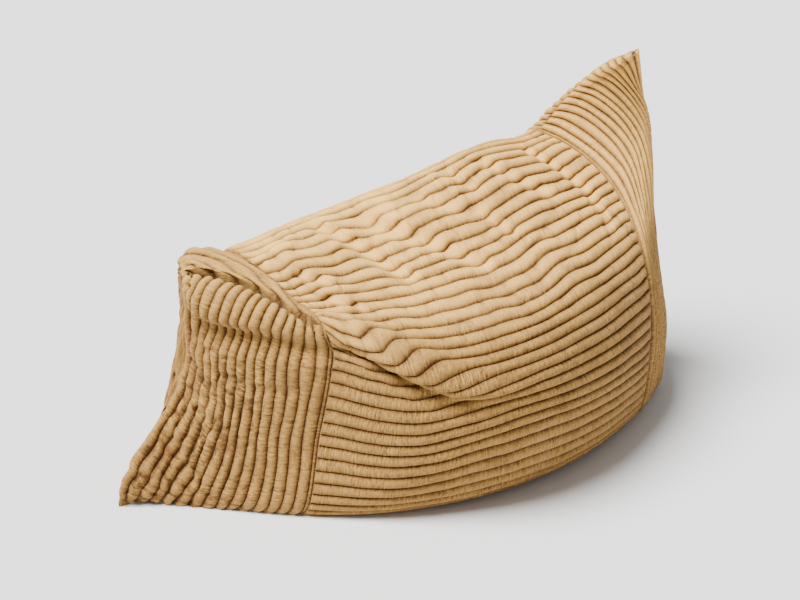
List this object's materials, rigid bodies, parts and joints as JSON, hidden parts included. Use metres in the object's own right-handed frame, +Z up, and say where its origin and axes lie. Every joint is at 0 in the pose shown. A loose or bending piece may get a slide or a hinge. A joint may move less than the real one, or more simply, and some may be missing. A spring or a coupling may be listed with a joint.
{
  "type": "convertible bean bag chair",
  "caption": "Long pillow-shaped bean bag in broad-corded plush, standing on its edge as a low chair, one upper corner pushed in and the other standing up as a pointed back rest.",
  "frame": {"origin": "middle of the outer box at floor level", "axes": "+X along the bag from the pushed-in end to the pointed end, +Y from its front to its back, +Z up"},
  "size_m": [1.1907, 0.6843, 0.702],
  "materials": {
    "band_plush": "honey tan plush with broad soft cords, matt, brushed nap",
    "panel_plush": "honey tan plush with broad soft cords, matt, brushed nap"
  },
  "bodies": {
    "root": {"left_end": "band_plush", "middle": "panel_plush", "right_end": "band_plush"}
  },
  "joints": []
}
